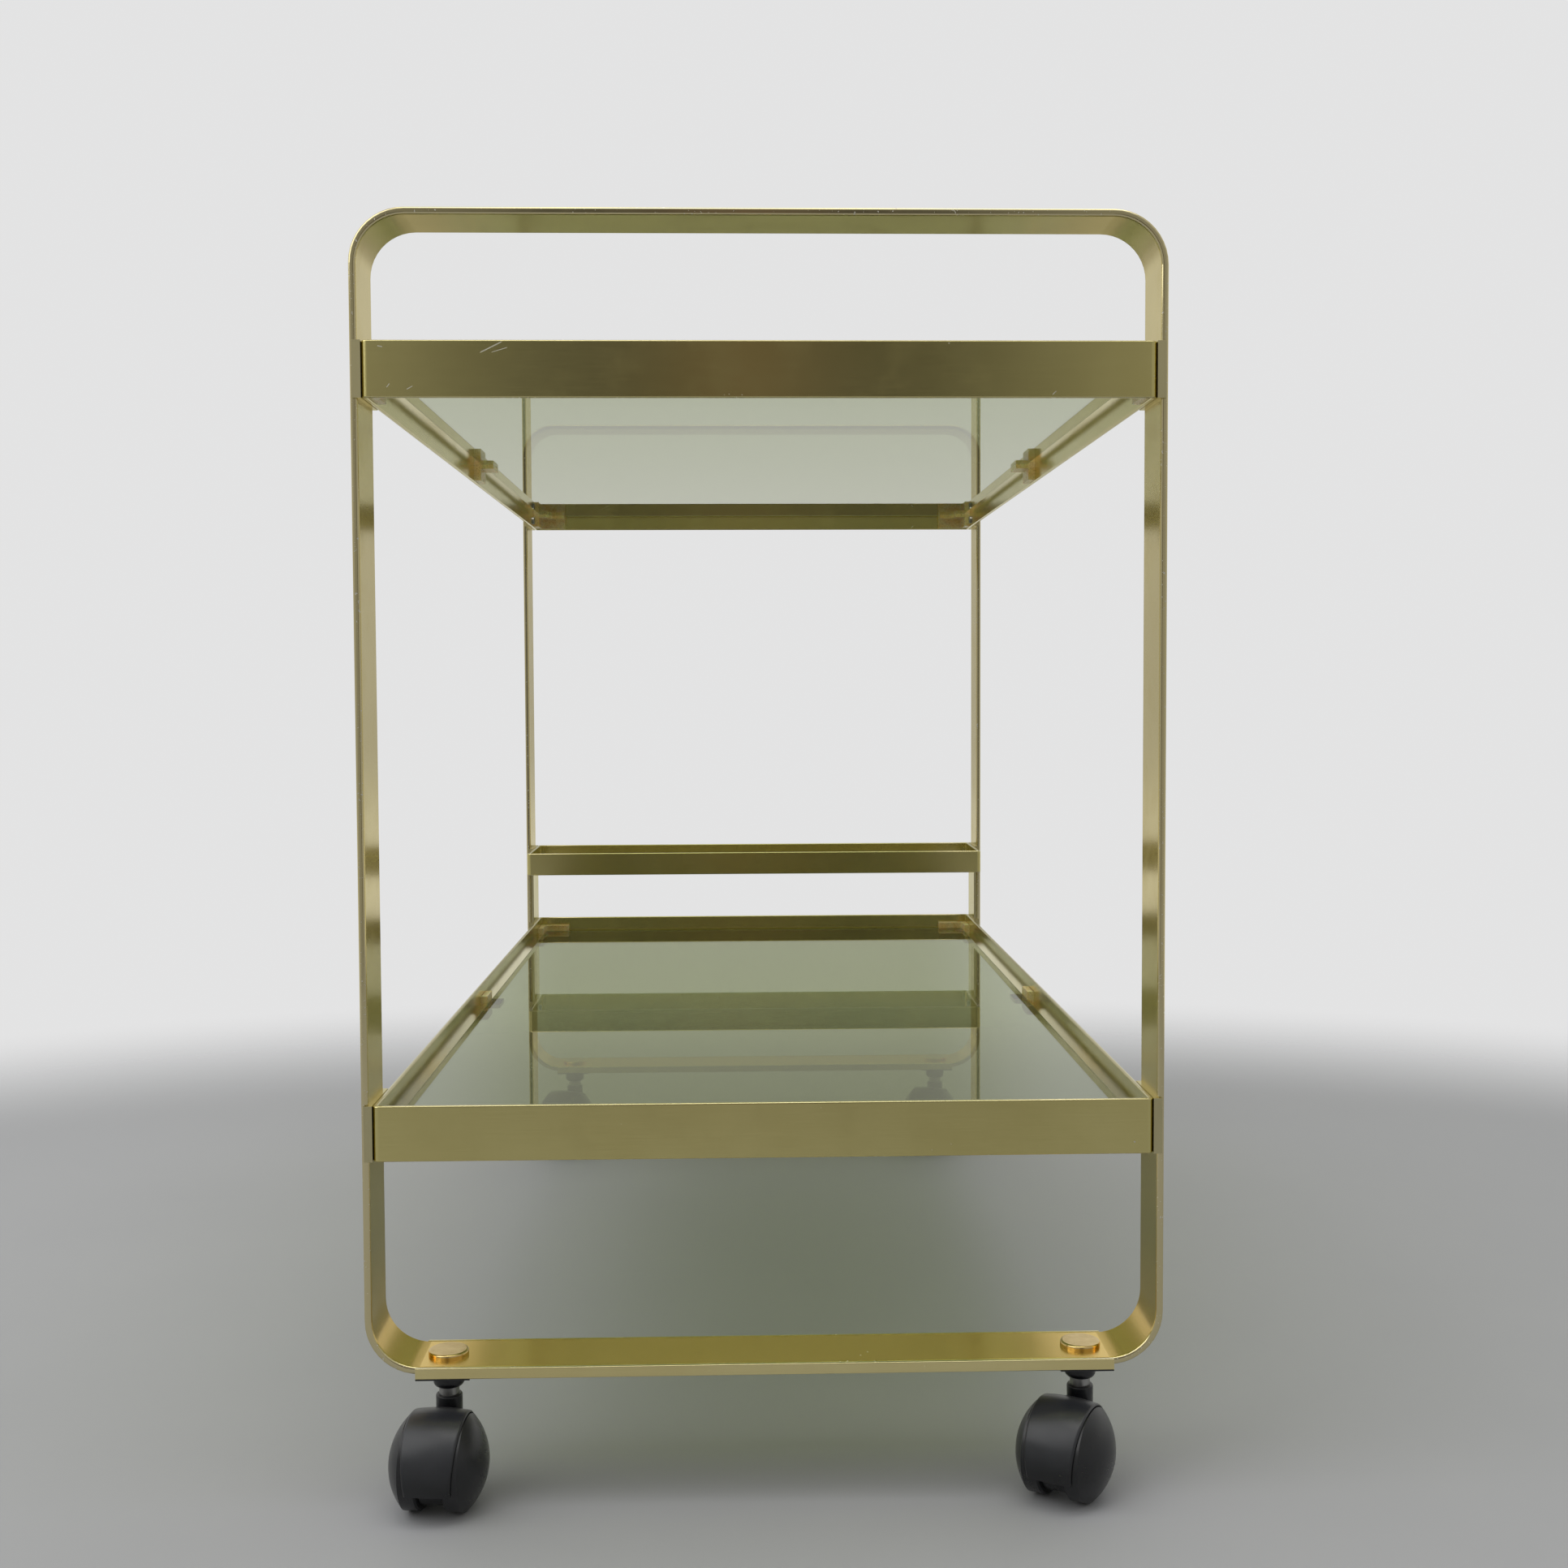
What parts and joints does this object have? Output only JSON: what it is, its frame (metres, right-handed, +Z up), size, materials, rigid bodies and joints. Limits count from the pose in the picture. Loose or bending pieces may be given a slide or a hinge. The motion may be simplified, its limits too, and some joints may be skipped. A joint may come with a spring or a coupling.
{
  "type": "bar cart",
  "caption": "Serving cart with flat-bar hoop ends, glass shelves in upright band trays, a low bottle rail at one end and swivelling twin-wheel casters.",
  "frame": {"origin": "middle of the cart's footprint on the floor", "axes": "+X across the cart to the right as seen from the near end, +Y along the cart towards the bottle rail, +Z up"},
  "size_m": [0.43, 0.821, 0.69],
  "materials": {
    "gold_aluminium": "satin champagne-gold anodised, fine grain along the bars",
    "smoked_glass": "clear polished, light grey-green tint",
    "amber_plastic": "translucent amber",
    "steel": "bright zinc",
    "brass_cap": "polished brass colour",
    "black_plastic": "satin black moulded"
  },
  "bodies": {
    "frame": {"hoop_front": "gold_aluminium", "hoop_rear": "gold_aluminium", "base_channel_front": "gold_aluminium", "base_channel_rear": "gold_aluminium", "tray_frame_upper": "gold_aluminium", "tray_frame_lower": "gold_aluminium", "bottle_rail": "gold_aluminium", "tray_saddles_upper": "gold_aluminium", "tray_saddles_lower": "gold_aluminium", "rail_saddles": "gold_aluminium", "glass_upper": "smoked_glass", "glass_lower": "smoked_glass", "corner_clips_upper": "amber_plastic", "corner_clips_lower": "amber_plastic", "side_clips_upper": "amber_plastic", "side_clips_lower": "amber_plastic", "tray_screws_upper": "steel", "tray_screws_lower": "steel", "rail_screws": "steel", "cap_nut_fl": "brass_cap", "pad_fl": "black_plastic", "stem_fl": "steel", "retaining_ring_fl": "steel", "cap_nut_fr": "brass_cap", "pad_fr": "black_plastic", "stem_fr": "steel", "retaining_ring_fr": "steel", "cap_nut_rl": "brass_cap", "pad_rl": "black_plastic", "stem_rl": "steel", "retaining_ring_rl": "steel", "cap_nut_rr": "brass_cap", "pad_rr": "black_plastic", "stem_rr": "steel", "retaining_ring_rr": "steel"},
    "swivel_fl": {"hood_fl": "black_plastic", "axle_fl": "steel"},
    "roller_left_fl": {"wheel_left_fl": "black_plastic"},
    "roller_right_fl": {"wheel_right_fl": "black_plastic"},
    "swivel_fr": {"hood_fr": "black_plastic", "axle_fr": "steel"},
    "roller_left_fr": {"wheel_left_fr": "black_plastic"},
    "roller_right_fr": {"wheel_right_fr": "black_plastic"},
    "swivel_rl": {"hood_rl": "black_plastic", "axle_rl": "steel"},
    "roller_left_rl": {"wheel_left_rl": "black_plastic"},
    "roller_right_rl": {"wheel_right_rl": "black_plastic"},
    "swivel_rr": {"hood_rr": "black_plastic", "axle_rr": "steel"},
    "roller_left_rr": {"wheel_left_rr": "black_plastic"},
    "roller_right_rr": {"wheel_right_rr": "black_plastic"}
  },
  "joints": [
    {"name": "fl_swivel", "type": "hinge", "parent": "frame", "child": "swivel_fl", "pos_m": [-0.1735, -0.36152, 0.0544], "axis": [0, 0, 1], "continuous": true},
    {"name": "fl_left_roll", "type": "hinge", "parent": "swivel_fl", "child": "roller_left_fl", "pos_m": [-0.17588, -0.38238, 0.025], "axis": [0.9936, -0.1132, 0], "continuous": true},
    {"name": "fl_right_roll", "type": "hinge", "parent": "swivel_fl", "child": "roller_right_fl", "pos_m": [-0.17588, -0.38238, 0.025], "axis": [0.9936, -0.1132, 0], "continuous": true},
    {"name": "fr_swivel", "type": "hinge", "parent": "frame", "child": "swivel_fr", "pos_m": [0.1735, -0.36152, 0.0544], "axis": [0, 0, 1], "continuous": true},
    {"name": "fr_left_roll", "type": "hinge", "parent": "swivel_fr", "child": "roller_left_fr", "pos_m": [0.16253, -0.37942, 0.025], "axis": [0.8526, -0.5225, 0], "continuous": true},
    {"name": "fr_right_roll", "type": "hinge", "parent": "swivel_fr", "child": "roller_right_fr", "pos_m": [0.16253, -0.37942, 0.025], "axis": [0.8526, -0.5225, 0], "continuous": true},
    {"name": "rl_swivel", "type": "hinge", "parent": "frame", "child": "swivel_rl", "pos_m": [-0.1735, 0.38848, 0.0544], "axis": [0, 0, 1], "continuous": true},
    {"name": "rl_left_roll", "type": "hinge", "parent": "swivel_rl", "child": "roller_left_rl", "pos_m": [-0.18068, 0.36875, 0.025], "axis": [0.9397, -0.342, 0], "continuous": true},
    {"name": "rl_right_roll", "type": "hinge", "parent": "swivel_rl", "child": "roller_right_rl", "pos_m": [-0.18068, 0.36875, 0.025], "axis": [0.9397, -0.342, 0], "continuous": true},
    {"name": "rr_swivel", "type": "hinge", "parent": "frame", "child": "swivel_rr", "pos_m": [0.1735, 0.38848, 0.0544], "axis": [0, 0, 1], "continuous": true},
    {"name": "rr_left_roll", "type": "hinge", "parent": "swivel_rr", "child": "roller_left_rr", "pos_m": [0.16632, 0.36875, 0.025], "axis": [0.9397, -0.342, 0], "continuous": true},
    {"name": "rr_right_roll", "type": "hinge", "parent": "swivel_rr", "child": "roller_right_rr", "pos_m": [0.16632, 0.36875, 0.025], "axis": [0.9397, -0.342, 0], "continuous": true}
  ]
}
